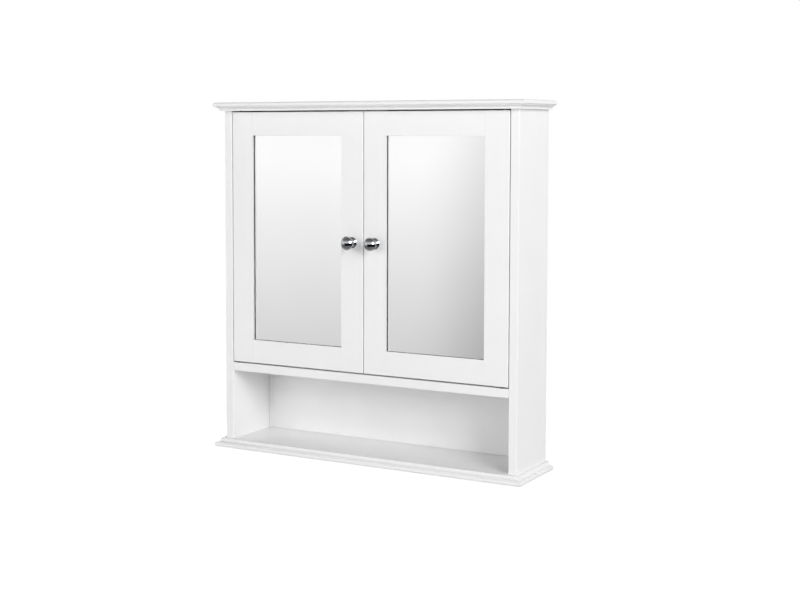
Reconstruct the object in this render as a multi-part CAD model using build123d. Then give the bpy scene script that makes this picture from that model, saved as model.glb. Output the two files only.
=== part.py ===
from build123d import *
import os
from math import asin, cos, radians, sin

# Wall-hung mirror cabinet with two framed mirror doors over an open shelf.
# Millimetres. +X is to the right, the front faces -Y, +Z is up. The back lies in the plane y = 0,
# and z = 0 is the height of the two wall screws.

# Overall size and boards
overall_width = 560.0
overall_depth = 130.0
overall_height = 580.0
side_overhang = 13.5
front_overhang = 16.0
board_t = 14.0
arris_r = 1.0

# Moulded edge of the top and bottom boards
nose_height = 7.0
nose_round = 3.5
nose_underround = 2.0
quirk_in = 0.6
quirk_height = 1.0
cove_fillet = 1.0

# Back panel and hanging rail
back_t = 5.0
rebate_w = 7.0
panel_clearance = 0.4
rail_height = 40.0
rail_dowel_pitch = 20.0
wall_hole_r = 3.0
wall_hole_spacing = 400.0

# Shelves
open_height = 116.0
shelf_end_clearance = 0.8
shelf_back_clearance = 3.0
shelf_setback = 22.0
shelf_row_count = 5
shelf_row_pitch = 32.0
shelf_row_front = 36.0
shelf_row_back = 24.0

# Doors
side_gap = 1.5
centre_gap = 1.5
top_gap = 2.2
bottom_gap = 2.4
door_t = 14.0
stile_w = 40.0
rail_w = 38.5
lip_t = 3.5
mirror_t = 3.0
backing_t = 3.0
mirror_rebate = 8.0

# Door pivots: steel pins in the door, plastic bushes in the boards
pivot_in = 10.0
pivot_back = 5.0
pivot_pin_r = 1.5
pin_in_door = 14.0
pin_in_bush = 7.5
bush_wall = 1.0
bush_length = 9.0
bush_flange_r = 4.5
top_flange_t = 1.0
run_clearance = 0.05

# Knobs
knob_foot_r = 9.0
knob_neck_r = 5.0
knob_head_r = 11.2
knob_length = 24.0
knob_head_at = 16.5
knob_foot_t = 2.2
knob_foot_bevel = 0.6
knob_curve_share = 0.3
knob_curve_rise = 0.41
knob_neck_at = 8.0
knob_bore_depth = 11.0
knob_screw_r = 2.0
knob_screw_head_r = 4.0
knob_screw_head_t = 2.4
knob_screw_in_knob = 8.0
knob_screw_play = 0.25

# Dowels, cams and screws
fixed_clearance = 0.05
dowel_r = 3.0
dowel_length = 30.0
dowel_in_face = 9.0
dowel_in_stile = 15.0
frame_dowel_from_edge = 10.0
frame_dowel_pitch = 12.0
end_clearance = 0.5
dowel_from_front = 22.0
dowel_from_back = 22.0
fixing_from_front = 42.0
fixing_from_back = 42.0
cam_r = 6.0
cam_depth = 9.8
cam_setback = 24.0
cam_end_clearance = 0.25
cam_slot_w = 1.6
cam_slot_l = 8.0
cam_slot_depth = 2.5
bolt_thread_r = 2.5
bolt_thread_l = 9.0
bolt_neck_r = 1.75
bolt_head_r = 2.6
bolt_head_l = 3.0
bolt_bore_r = 3.6
base_screw_r = 1.75
base_screw_head_r = 3.5
base_screw_l = 40.0
cross_w = 1.0
cross_depth = 0.9
pan_round_share = 0.4
nail_r = 0.7
nail_head_r = 1.6
nail_head_t = 0.6
nail_l = 16.0
side_nail_from_floor = 10.0
side_nail_from_top = 50.0
side_nail_count = 5
shelf_nail_pitch = 150.0
rail_nail_pitch = 100.0

# Shelf pins
shelf_pin_r = 2.5
shelf_pin_depth = 9.0
shelf_pin_collar_r = 4.0
shelf_pin_collar_t = 1.5
shelf_pin_tongue_l = 8.0
shelf_pin_tongue_w = 8.0
shelf_pin_tongue_t = 3.0

# Magnetic catch
catch_half_w = 24.0
catch_wall = 2.0
catch_depth = 14.2
catch_ear_l = 10.0
catch_ear_t = 3.0
catch_behind_poles = 0.5
catch_play = 0.1
magnet_w = 13.0
magnet_t = 5.0
magnet_depth = 8.5
pole_t = 1.2
pole_depth = 10.5
pocket_clearance = 0.15
strike_w = 14.0
strike_h = 12.0
strike_t = 1.5
strike_from_edge = 5.0
strike_from_top = 5.0
wood_screw_r = 1.5
wood_screw_head_r = 2.8
wood_screw_head_t = 1.6
wood_screw_l = 11.0
catch_hole_r = 1.8

# Levels and lines that follow from the sizes
body_half = overall_width / 2 - side_overhang
inner_half = body_half - board_t
front_y = -overall_depth + front_overhang
back_face_y = -back_t
soffit_z = rail_height / 2
top_z = soffit_z + board_t
base_z = top_z - overall_height
floor_z = base_z + board_t
shelf_under_z = floor_z + open_height
shelf_top_z = shelf_under_z + board_t
side_mid_x = inner_half + board_t / 2
shelf_mid_z = shelf_under_z + board_t / 2

hinge_edge = inner_half - side_gap
door_w = hinge_edge - centre_gap / 2
door_top_z = soffit_z - top_gap
door_bottom_z = shelf_top_z + bottom_gap
door_h = door_top_z - door_bottom_z
door_mid_z = (door_top_z + door_bottom_z) / 2

row_y = (front_y + shelf_row_front, -shelf_row_back)
row_mid_z = (soffit_z + shelf_top_z) / 2
row_z = [row_mid_z + (i - (shelf_row_count - 1) / 2) * shelf_row_pitch for i in range(shelf_row_count)]
dowel_y = (front_y + dowel_from_front, -dowel_from_back)
fixing_y = (front_y + fixing_from_front, -fixing_from_back)
dowel_in_end = dowel_length - dowel_in_face

pivot_x = hinge_edge - pivot_in
pivot_y = front_y + pivot_back
bush_r = pivot_pin_r + run_clearance + bush_wall

SIDES = {"left": -1, "right": 1}
FROM_START = (Align.CENTER, Align.CENTER, Align.MIN)


# Solids in the cabinet's own axes
def block(x0, x1, y0, y1, z0, z1):
    return Pos((x0 + x1) / 2, (y0 + y1) / 2, (z0 + z1) / 2) * Box(abs(x1 - x0), abs(y1 - y0), abs(z1 - z0))


def rod(start, direction, radius, length):
    return Plane(origin=start, z_dir=direction) * Cylinder(radius, length, align=FROM_START)


def cone(start, direction, radius_start, radius_end, length):
    return Plane(origin=start, z_dir=direction) * Cone(radius_start, radius_end, length, align=FROM_START)


def along(start, direction, distance):
    return tuple(s + d * distance for s, d in zip(start, direction))


def save(name, solids):
    shapes = [s.solid() for s in solids]
    export_step(shapes[0] if len(shapes) == 1 else Compound(children=shapes), f"parts/{name}.step")


# Fasteners, each built from the point where its head meets the face, along the way it is driven
def cross_recess(start, direction, size):
    flat_bar = Box(size, cross_w, cross_depth, align=FROM_START)
    upright_bar = Box(cross_w, size, cross_depth, align=FROM_START)
    return Plane(origin=start, z_dir=direction) * (flat_bar + upright_bar)


def countersunk_screw(start, direction, radius, head_r, length):
    head_t = head_r - radius
    screw = cone(start, direction, head_r, radius, head_t)
    screw += rod(along(start, direction, head_t), direction, radius, length - head_t)
    return screw - cross_recess(start, direction, head_r)


def countersunk_hole(start, direction, radius, head_r, length):
    head_t = head_r - radius
    wide = fixed_clearance
    hole = cone(start, direction, head_r + wide, radius + wide, head_t)
    return hole + rod(start, direction, radius + wide, length + end_clearance)


def pan_screw(start, direction, radius, head_r, head_t, length):
    head_start = along(start, direction, -head_t)
    head = rod(head_start, direction, head_r, head_t)
    head = fillet(head.edges().sort_by(Axis(start, direction))[0], head_t * pan_round_share)
    return head + rod(start, direction, radius, length) - cross_recess(head_start, direction, head_r)


def nail(start, direction):
    return rod(start, direction, nail_head_r, nail_head_t) + rod(start, direction, nail_r, nail_l)


def nail_hole(start, direction):
    head = rod(start, direction, nail_head_r + fixed_clearance, nail_head_t)
    return head + rod(start, direction, nail_r + fixed_clearance, nail_l + end_clearance)


def dowel_hole(start, direction, depth):
    return rod(start, direction, dowel_r + fixed_clearance, depth + end_clearance)


# A dowel or cam bolt crosses the joint from a face board into the end of the next board
def joint_places():
    places = []
    for side in SIDES.values():
        places.append(((side * side_mid_x, soffit_z), (0, 0, 1), "top"))
        places.append(((side * side_mid_x, floor_z), (0, 0, -1), "base"))
        places.append(((side * inner_half, shelf_mid_z), (side, 0, 0), "shelf"))
    return places


def at(place, y):
    return (place[0][0], y, place[0][1])


def side_of(x):
    return 1 if x > 0 else -1


def opposite(direction):
    return tuple(-d for d in direction)


def dowel_cuts(kind, into_face):
    cuts = []
    for place in joint_places():
        if place[2] == kind:
            way = place[1] if into_face else opposite(place[1])
            depth = dowel_in_face if into_face else dowel_in_end
            cuts += [dowel_hole(at(place, y), way, depth) for y in dowel_y]
    return cuts


def rail_dowel_points():
    lift = rail_dowel_pitch / 2
    y = back_face_y - board_t / 2
    return [(side * inner_half, y, z) for side in SIDES.values() for z in (-lift, lift)]


def bolt_face_cuts(kind):
    cuts = []
    for place in joint_places():
        if place[2] == kind:
            cuts += [
                rod(at(place, y), place[1], bolt_thread_r + fixed_clearance, bolt_thread_l + end_clearance)
                for y in fixing_y
            ]
    return cuts


# A cam sits in a pocket with its slotted face flush; the bolt's head reaches in from the board's end
def cam_face_point(place, y):
    x, z = place[0]
    side = side_of(x)
    if place[2] == "top":
        return (side * inner_half, y, z - cam_setback), (side, 0, 0)
    return (x - side * cam_setback, y, shelf_top_z), (0, 0, -1)


def cam_pocket_cuts(kind):
    cuts = []
    for place in joint_places():
        if place[2] == kind:
            for y in fixing_y:
                face, into = cam_face_point(place, y)
                cuts.append(rod(face, into, cam_r + fixed_clearance, cam_depth + cam_end_clearance))
                cuts.append(rod(at(place, y), opposite(place[1]), bolt_bore_r, cam_setback))
    return cuts


def cam_and_bolt(place, y):
    face, into = cam_face_point(place, y)
    inward = opposite(place[1])
    joint = at(place, y)
    cam = rod(face, into, cam_r, cam_depth) - rod(joint, inward, bolt_bore_r, cam_setback + bolt_head_r)
    cam -= Plane(origin=face, z_dir=into) * Box(cam_slot_l, cam_slot_w, cam_slot_depth, align=FROM_START)
    bolt = rod(joint, place[1], bolt_thread_r, bolt_thread_l)
    bolt += rod(joint, inward, bolt_neck_r, cam_setback)
    bolt += rod(along(joint, inward, cam_setback - bolt_head_l), inward, bolt_head_r, bolt_head_l)
    return cam, bolt


def cut(solid, cuts):
    for tool in cuts:
        solid -= tool
    return solid


# The moulded edge is drawn by its depth in from the board's edge and its distance from the wide face
def moulding_edges(place_point):
    cove_r = board_t - nose_height - quirk_height - cove_fillet
    cove_in = nose_underround + quirk_in
    c45 = cos(radians(45))
    s45 = sin(radians(45))
    top_start = place_point(nose_round, 0)
    top_mid = place_point(nose_round * (1 - c45), nose_round * (1 - s45))
    top_end = place_point(0, nose_round)
    low_start = place_point(0, nose_height - nose_underround)
    low_mid = place_point(nose_underround * (1 - c45), nose_height - nose_underround * (1 - s45))
    low_end = place_point(nose_underround, nose_height)
    quirk = place_point(cove_in, nose_height)
    cove_start = place_point(cove_in, nose_height + quirk_height)
    cove_centre = nose_height + quirk_height + cove_r
    cove_mid = place_point(cove_in + cove_r * s45, cove_centre - cove_r * c45)
    cove_end = place_point(cove_in + cove_r, cove_centre)
    foot = place_point(cove_in + cove_r, board_t)
    return [
        ThreePointArc(top_start, top_mid, top_end),
        Line(top_end, low_start),
        ThreePointArc(low_start, low_mid, low_end),
        Line(low_end, quirk),
        Line(quirk, cove_start),
        ThreePointArc(cove_start, cove_mid, cove_end),
        Line(cove_end, foot),
    ]


def moulded_board(wide_z, way):
    half = overall_width / 2

    def front(inward, drop):
        return (-overall_depth + inward, wide_z + way * drop)

    def right(inward, drop):
        return (half - inward, wide_z + way * drop)

    def left(inward, drop):
        return (-half + inward, wide_z + way * drop)

    narrow_z = wide_z + way * board_t
    front_edges = moulding_edges(front)
    front_edges.append(Polyline(front_edges[-1] @ 1, (0, narrow_z), (0, wide_z), front_edges[0] @ 0))
    right_edges = moulding_edges(right)
    left_edges = moulding_edges(left)
    narrow_face = Line(right_edges[-1] @ 1, left_edges[-1] @ 1)
    wide_face = Line(left_edges[0] @ 0, right_edges[0] @ 0)
    side_edges = [*right_edges, *left_edges, narrow_face, wide_face]
    lengthwise = extrude(Plane.YZ * make_face(front_edges), amount=half, both=True)
    crosswise = extrude(Plane.XZ * make_face(side_edges), amount=overall_depth)
    return lengthwise & crosswise


def pivot_points(z):
    return [(side * pivot_x, pivot_y, z) for side in SIDES.values()]


def bush_holes(z, into):
    wide = bush_r + fixed_clearance
    return [rod(point, into, wide, bush_length + end_clearance) for point in pivot_points(z)]


def top_board():
    board = moulded_board(top_z, -1)
    cuts = dowel_cuts("top", True) + bolt_face_cuts("top") + bush_holes(soffit_z, (0, 0, 1))
    cuts += [catch_screw_hole(point) for point in catch_screw_points()]
    return cut(board, cuts)


def base_screw_points():
    return [(side * side_mid_x, y, base_z) for side in SIDES.values() for y in fixing_y]


def base_screw_cuts():
    up = (0, 0, 1)
    return [
        countersunk_hole(p, up, base_screw_r, base_screw_head_r, base_screw_l) for p in base_screw_points()
    ]


def base_screws():
    up = (0, 0, 1)
    return [
        countersunk_screw(p, up, base_screw_r, base_screw_head_r, base_screw_l) for p in base_screw_points()
    ]


def bottom_board():
    return cut(moulded_board(base_z, 1), dowel_cuts("base", True) + base_screw_cuts())


# Sides
def side_panel(side):
    outer = side * body_half
    inner = side * inner_half
    panel = block(outer, inner, front_y, 0, floor_z, soffit_z)
    front_edges = panel.edges().filter_by(Axis.Z).group_by(Axis.Y)[0]
    panel = fillet(front_edges, arris_r)
    panel -= block(inner, inner + side * rebate_w, -back_t, 0, floor_z, soffit_z)
    cuts = dowel_cuts("top", False) + dowel_cuts("base", False) + dowel_cuts("shelf", True)
    cuts += bolt_face_cuts("shelf") + cam_pocket_cuts("top") + base_screw_cuts()
    cuts += [dowel_hole(p, (side, 0, 0), dowel_in_face) for p in rail_dowel_points()]
    cuts += [
        rod((inner, y, z), (side, 0, 0), shelf_pin_r + fixed_clearance, shelf_pin_depth + end_clearance)
        for y in row_y
        for z in row_z
    ]
    cuts += [nail_hole(p, (0, -1, 0)) for p in side_nail_points()]
    return cut(panel, cuts)


# Shelves
def fixed_shelf():
    shelf = block(-inner_half, inner_half, front_y, back_face_y, shelf_under_z, shelf_top_z)
    front_edges = shelf.edges().filter_by(Axis.X).group_by(Axis.Y)[0]
    shelf = fillet(front_edges, arris_r)
    cuts = dowel_cuts("shelf", False) + cam_pocket_cuts("shelf") + bush_holes(shelf_top_z, (0, 0, -1))
    cuts += [nail_hole(p, (0, -1, 0)) for p in shelf_nail_points()]
    return cut(shelf, cuts)


def adjustable_shelf():
    end = inner_half - shelf_end_clearance
    seat_z = row_mid_z + shelf_pin_tongue_t / 2
    back_y = back_face_y - shelf_back_clearance
    shelf = block(-end, end, front_y + shelf_setback, back_y, seat_z, seat_z + board_t)
    return fillet(shelf.edges().filter_by(Axis.X).group_by(Axis.Y)[0], arris_r)


def shelf_pin(side, y):
    wall = side * inner_half
    out = (-side, 0, 0)
    pin = rod((wall, y, row_mid_z), (side, 0, 0), shelf_pin_r, shelf_pin_depth)
    pin += rod((wall, y, row_mid_z), out, shelf_pin_collar_r, shelf_pin_collar_t)
    tip = wall - side * (shelf_pin_collar_t + shelf_pin_tongue_l)
    half_w = shelf_pin_tongue_w / 2
    half_t = shelf_pin_tongue_t / 2
    pin += block(wall, tip, y - half_w, y + half_w, row_mid_z - half_t, row_mid_z + half_t)
    above = block(wall, tip, y - half_w, y + half_w, row_mid_z + half_t, row_mid_z + shelf_pin_collar_r)
    return pin - above


# Back
def side_nail_points():
    x = inner_half + rebate_w / 2
    low = floor_z + side_nail_from_floor
    step = (soffit_z - side_nail_from_top - low) / (side_nail_count - 1)
    return [(side * x, 0, low + i * step) for side in SIDES.values() for i in range(side_nail_count)]


def shelf_nail_points():
    return [(i * shelf_nail_pitch, 0, shelf_mid_z) for i in (-1, 0, 1)]


def rail_nail_points():
    return [(i * rail_nail_pitch, 0, 0) for i in (-1, 0, 1)]


def wall_hole_cuts(depth):
    half = wall_hole_spacing / 2
    return [rod((x, 0, 0), (0, -1, 0), wall_hole_r, depth) for x in (-half, half)]


def back_panel():
    half = inner_half + rebate_w - panel_clearance
    low = floor_z + panel_clearance
    panel = block(-half, half, back_face_y, 0, low, soffit_z - panel_clearance)
    nails = side_nail_points() + shelf_nail_points() + rail_nail_points()
    return cut(panel, wall_hole_cuts(back_t) + [nail_hole(p, (0, -1, 0)) for p in nails])


def hanging_rail():
    rail = block(-inner_half, inner_half, back_face_y - board_t, back_face_y, -rail_height / 2, soffit_z)
    cuts = wall_hole_cuts(back_t + board_t) + [nail_hole(p, (0, -1, 0)) for p in rail_nail_points()]
    for point in rail_dowel_points():
        cuts.append(dowel_hole(point, (-side_of(point[0]), 0, 0), dowel_in_end))
    return cut(rail, cuts)


def carcass_dowels():
    dowels = []
    for place in joint_places():
        for y in dowel_y:
            start = along(at(place, y), place[1], dowel_in_face)
            dowels.append(rod(start, opposite(place[1]), dowel_r, dowel_length))
    for point in rail_dowel_points():
        way = (side_of(point[0]), 0, 0)
        dowels.append(rod(along(point, way, dowel_in_face), opposite(way), dowel_r, dowel_length))
    return dowels


# Pivots
def pivot_bush(point, into, flange_t):
    out = opposite(into)
    bush = rod(point, into, bush_r, bush_length) + rod(point, out, bush_flange_r, flange_t)
    bore_start = along(point, out, flange_t)
    return bush - rod(bore_start, into, pivot_pin_r + run_clearance, flange_t + bush_length)


def pivot_pins(side):
    x = side * pivot_x
    length_top = pin_in_door + top_gap + pin_in_bush
    length_bottom = pin_in_door + bottom_gap + pin_in_bush
    top = rod((x, pivot_y, door_top_z - pin_in_door), (0, 0, 1), pivot_pin_r, length_top)
    bottom = rod((x, pivot_y, door_bottom_z + pin_in_door), (0, 0, -1), pivot_pin_r, length_bottom)
    return [top, bottom]


# Magnetic catch under the top board, one magnet for each door
pole_front_y = front_y + door_t + strike_t + catch_play
catch_front_y = pole_front_y + catch_behind_poles
catch_back_y = catch_front_y + catch_depth
magnet_mid_x = centre_gap / 2 + strike_from_edge + strike_w / 2
magnet_mid_z = door_top_z - strike_from_top - strike_h / 2
catch_bottom_z = magnet_mid_z - magnet_t / 2 - pole_t - pocket_clearance - catch_wall


def catch_screw_points():
    x = catch_half_w + catch_ear_l / 2
    y = (catch_front_y + catch_back_y) / 2
    return [(side * x, y, soffit_z - catch_ear_t) for side in SIDES.values()]


def catch_screw_hole(point):
    return rod(point, (0, 0, 1), wood_screw_r + fixed_clearance, wood_screw_l + end_clearance)


def magnet_stack(side):
    x = side * magnet_mid_x
    half = magnet_w / 2
    half_t = magnet_t / 2
    deep = pole_front_y + pole_depth
    plates = []
    for low in (magnet_mid_z - half_t - pole_t, magnet_mid_z + half_t):
        plates.append(block(x - half, x + half, pole_front_y, deep, low, low + pole_t))
    magnet_front_y = deep - magnet_depth
    magnet = block(x - half, x + half, magnet_front_y, deep, magnet_mid_z - half_t, magnet_mid_z + half_t)
    return plates, magnet


def catch_case():
    w = catch_half_w
    case = block(-w, w, catch_front_y, catch_back_y, catch_bottom_z, soffit_z)
    case = fillet(case.edges().filter_by(Axis.X).group_by(Axis.Z)[0], arris_r)
    ear = w + catch_ear_l
    case += block(-ear, ear, catch_front_y, catch_back_y, soffit_z - catch_ear_t, soffit_z)
    half_h = magnet_t / 2 + pole_t + pocket_clearance
    half_w = magnet_w / 2 + pocket_clearance
    for side in SIDES.values():
        x = side * magnet_mid_x
        deep = pole_front_y + pole_depth + pocket_clearance
        case -= block(
            x - half_w, x + half_w, catch_front_y, deep, magnet_mid_z - half_h, magnet_mid_z + half_h
        )
    return cut(case, [rod(p, (0, 0, 1), catch_hole_r, catch_ear_t) for p in catch_screw_points()])


def catch_screws():
    up = (0, 0, 1)
    return [
        pan_screw(p, up, wood_screw_r, wood_screw_head_r, wood_screw_head_t, wood_screw_l)
        for p in catch_screw_points()
    ]


# Doors: u runs in from the hinge edge, v back from the front face
def door_block(side, u0, u1, v0, v1, z0, z1):
    return block(side * (hinge_edge - u0), side * (hinge_edge - u1), front_y + v0, front_y + v1, z0, z1)


def door_point(side, u, v, z):
    return (side * (hinge_edge - u), front_y + v, z)


def mirror_pocket(side):
    reach = mirror_rebate
    return door_block(
        side,
        stile_w - reach,
        door_w - stile_w + reach,
        lip_t,
        door_t,
        door_bottom_z + rail_w - reach,
        door_top_z - rail_w + reach,
    )


def frame_dowel_places():
    places = []
    for row in (0, 1):
        rise = frame_dowel_from_edge + row * frame_dowel_pitch
        for z in (door_top_z - rise, door_bottom_z + rise):
            places.append((stile_w, 1, z))
            places.append((door_w - stile_w, -1, z))
    return places


def frame_dowel_cuts(side):
    cuts = []
    for u, way, z in frame_dowel_places():
        start = door_point(side, u, door_t / 2, z)
        toward_centre = (-side * way, 0, 0)
        cuts.append(dowel_hole(start, toward_centre, dowel_length - dowel_in_stile))
        cuts.append(dowel_hole(start, opposite(toward_centre), dowel_in_stile))
    return cuts


def frame_dowels(side):
    dowels = []
    for u, way, z in frame_dowel_places():
        start = door_point(side, u - way * dowel_in_stile, door_t / 2, z)
        dowels.append(rod(start, (-side * way, 0, 0), dowel_r, dowel_length))
    return dowels


def pivot_pin_cuts(side):
    wide = pivot_pin_r + fixed_clearance
    depth = pin_in_door + end_clearance
    x = side * pivot_x
    top = rod((x, pivot_y, door_top_z), (0, 0, -1), wide, depth)
    bottom = rod((x, pivot_y, door_bottom_z), (0, 0, 1), wide, depth)
    return [top, bottom]


def outer_stile(side):
    stile = door_block(side, 0, stile_w, 0, door_t, door_bottom_z, door_top_z)
    uprights = stile.edges().filter_by(Axis.Z).group_by(Axis.X)
    stile = fillet(uprights[-1] if side > 0 else uprights[0], arris_r)
    return cut(stile, [mirror_pocket(side)] + frame_dowel_cuts(side) + pivot_pin_cuts(side))


def knob_axis(side):
    return (side * (centre_gap / 2 + stile_w / 2), front_y, door_mid_z)


def strike_screw_start(side):
    return (side * magnet_mid_x, front_y + door_t + strike_t, magnet_mid_z)


def strike_screw_cut(side):
    hole_r = wood_screw_r + fixed_clearance
    return rod(strike_screw_start(side), (0, -1, 0), hole_r, wood_screw_l + end_clearance)


def inner_stile(side):
    stile = door_block(side, door_w - stile_w, door_w, 0, door_t, door_bottom_z, door_top_z)
    uprights = stile.edges().filter_by(Axis.Z).group_by(Axis.X)
    stile = fillet(uprights[0] if side > 0 else uprights[-1], arris_r)
    knob_hole = rod(knob_axis(side), (0, 1, 0), knob_screw_r + knob_screw_play, door_t)
    return cut(stile, [mirror_pocket(side), knob_hole, strike_screw_cut(side)] + frame_dowel_cuts(side))


def door_rail(side, low, high):
    rail = door_block(side, stile_w, door_w - stile_w, 0, door_t, low, high)
    return cut(rail, [mirror_pocket(side)] + frame_dowel_cuts(side))


def pane(side, v0, v1):
    reach = mirror_rebate - panel_clearance
    low = door_bottom_z + rail_w - reach
    high = door_top_z - rail_w + reach
    return door_block(side, stile_w - reach, door_w - stile_w + reach, v0, v1, low, high)


def retaining_beads(side):
    v0 = lip_t + mirror_t + backing_t
    u0 = stile_w - mirror_rebate
    u1 = door_w - u0
    z0 = door_bottom_z + rail_w - mirror_rebate
    z1 = door_top_z - rail_w + mirror_rebate
    w = mirror_rebate
    uprights = [(u0, u0 + w, z0, z1), (u1 - w, u1, z0, z1)]
    crosses = [(u0 + w, u1 - w, z0, z0 + w), (u0 + w, u1 - w, z1 - w, z1)]
    return [door_block(side, a, b, v0, door_t, low, high) for a, b, low, high in uprights + crosses]


# The knob's outline is turned about its own axis: flared foot, waist and domed head
def knob(side):
    foot_r = knob_foot_r
    edge = knob_foot_bevel
    foot_top = (foot_r - edge, knob_foot_t)
    neck = (knob_neck_r, knob_neck_at)
    rim = (knob_head_r, knob_head_at)
    waist_r = knob_neck_r + (foot_top[0] - knob_neck_r) * knob_curve_share
    waist_at = knob_foot_t + (knob_neck_at - knob_foot_t) * knob_curve_rise
    throat_r = knob_neck_r + (knob_head_r - knob_neck_r) * knob_curve_rise
    throat_at = (knob_neck_at + knob_head_at) / 2
    dome_rise = knob_length - knob_head_at
    dome_r = (knob_head_r**2 + dome_rise**2) / (2 * dome_rise)
    half_turn = asin(knob_head_r / dome_r) / 2
    crown = (0, knob_length)
    shoulder = (dome_r * sin(half_turn), knob_length - dome_r * (1 - cos(half_turn)))
    bore_r = knob_screw_r + fixed_clearance
    outline = [
        Line((bore_r, 0), (foot_r, 0)),
        Line((foot_r, 0), (foot_r, knob_foot_t - edge)),
        Line((foot_r, knob_foot_t - edge), foot_top),
        ThreePointArc(foot_top, (waist_r, waist_at), neck),
        ThreePointArc(neck, (throat_r, throat_at), rim),
        ThreePointArc(rim, shoulder, crown),
        Line(crown, (0, knob_bore_depth)),
        Line((0, knob_bore_depth), (bore_r, knob_bore_depth)),
        Line((bore_r, knob_bore_depth), (bore_r, 0)),
    ]
    turned = revolve(Plane.XZ * make_face(outline), Axis.Z)
    return Plane(origin=knob_axis(side), z_dir=(0, -1, 0)) * turned


def knob_screw(side):
    x, y, z = knob_axis(side)
    back = (x, y + door_t, z)
    length = door_t + knob_screw_in_knob
    return pan_screw(back, (0, -1, 0), knob_screw_r, knob_screw_head_r, knob_screw_head_t, length)


def strike_plate(side):
    x = side * magnet_mid_x
    y = front_y + door_t
    half_w = strike_w / 2
    half_h = strike_h / 2
    low = magnet_mid_z - half_h
    plate = block(x - half_w, x + half_w, y, y + strike_t, low, low + strike_h)
    plate = fillet(plate.edges().filter_by(Axis.Y), arris_r)
    return plate - countersunk_hole(
        strike_screw_start(side), (0, -1, 0), wood_screw_r, wood_screw_head_r, strike_t
    )


def strike_screw(side):
    start = strike_screw_start(side)
    return countersunk_screw(start, (0, -1, 0), wood_screw_r, wood_screw_head_r, wood_screw_l)


def build_cabinet():
    cams = [cam_and_bolt(p, y) for p in joint_places() if p[2] != "base" for y in fixing_y]
    stacks = [magnet_stack(side) for side in SIDES.values()]
    up = (0, 0, 1)
    back_nail_points = side_nail_points() + shelf_nail_points() + rail_nail_points()
    save("top_board", [top_board()])
    save("bottom_board", [bottom_board()])
    for name, side in SIDES.items():
        save(f"{name}_side_panel", [side_panel(side)])
    save("fixed_shelf", [fixed_shelf()])
    save("adjustable_shelf", [adjustable_shelf()])
    save("back_panel", [back_panel()])
    save("hanging_rail", [hanging_rail()])
    save("carcass_dowels", carcass_dowels())
    save("cam_locks", [cam for cam, bolt in cams])
    save("cam_bolts", [bolt for cam, bolt in cams])
    save("shelf_pins", [shelf_pin(side, y) for side in SIDES.values() for y in row_y])
    save("base_screws", base_screws())
    save("back_nails", [nail(p, (0, -1, 0)) for p in back_nail_points])
    save("top_pivot_bushes", [pivot_bush(p, up, top_flange_t) for p in pivot_points(soffit_z)])
    save("bottom_pivot_bushes", [pivot_bush(p, (0, 0, -1), bottom_gap) for p in pivot_points(shelf_top_z)])
    save("catch_case", [catch_case()])
    save("catch_magnets", [magnet for plates, magnet in stacks])
    save("catch_pole_plates", [plate for plates, magnet in stacks for plate in plates])
    save("catch_screws", catch_screws())


def build_door(name, side):
    back_of_mirror = lip_t + mirror_t
    save(f"{name}_outer_stile", [outer_stile(side)])
    save(f"{name}_inner_stile", [inner_stile(side)])
    save(f"{name}_top_rail", [door_rail(side, door_top_z - rail_w, door_top_z)])
    save(f"{name}_bottom_rail", [door_rail(side, door_bottom_z, door_bottom_z + rail_w)])
    save(f"{name}_frame_dowels", frame_dowels(side))
    save(f"{name}_mirror", [pane(side, lip_t, back_of_mirror)])
    save(f"{name}_backing_panel", [pane(side, back_of_mirror, back_of_mirror + backing_t)])
    save(f"{name}_retaining_beads", retaining_beads(side))
    save(f"{name}_knob", [knob(side)])
    save(f"{name}_knob_screw", [knob_screw(side)])
    save(f"{name}_pivot_pins", pivot_pins(side))
    save(f"{name}_strike_plate", [strike_plate(side)])
    save(f"{name}_strike_screw", [strike_screw(side)])


os.makedirs("parts", exist_ok=True)
build_cabinet()
for door_name, door_side in SIDES.items():
    build_door(door_name, door_side)
print(f"doors {door_w:.2f} x {door_h:.2f}, base at z {base_z:.1f}, knobs at z {door_mid_z:.1f}")
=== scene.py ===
import math

import bmesh
import bpy
from mathutils import Matrix, Vector


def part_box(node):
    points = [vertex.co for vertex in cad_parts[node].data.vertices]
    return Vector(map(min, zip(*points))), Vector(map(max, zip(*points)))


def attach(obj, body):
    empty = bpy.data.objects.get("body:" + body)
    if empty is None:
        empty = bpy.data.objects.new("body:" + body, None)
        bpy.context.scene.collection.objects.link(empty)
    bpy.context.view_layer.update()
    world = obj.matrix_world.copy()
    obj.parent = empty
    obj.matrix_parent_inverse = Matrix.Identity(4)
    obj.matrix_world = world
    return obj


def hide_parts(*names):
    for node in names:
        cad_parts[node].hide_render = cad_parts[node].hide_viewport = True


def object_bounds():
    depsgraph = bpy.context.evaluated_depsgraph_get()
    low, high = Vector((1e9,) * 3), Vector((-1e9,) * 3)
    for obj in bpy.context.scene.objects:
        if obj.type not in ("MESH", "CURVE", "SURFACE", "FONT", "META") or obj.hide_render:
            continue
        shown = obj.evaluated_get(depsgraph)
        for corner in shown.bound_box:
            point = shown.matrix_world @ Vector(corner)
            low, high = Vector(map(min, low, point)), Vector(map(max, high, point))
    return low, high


bl_info = {
    "name": "Mirror cabinet",
    "version": (1, 0, 0),
    "blender": (4, 5, 0),
    "location": "View3D > Sidebar > Cabinet",
    "description": "White painted mirror cabinet with two framed mirror doors over an open shelf",
    "category": "Add Mesh",
}

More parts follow.
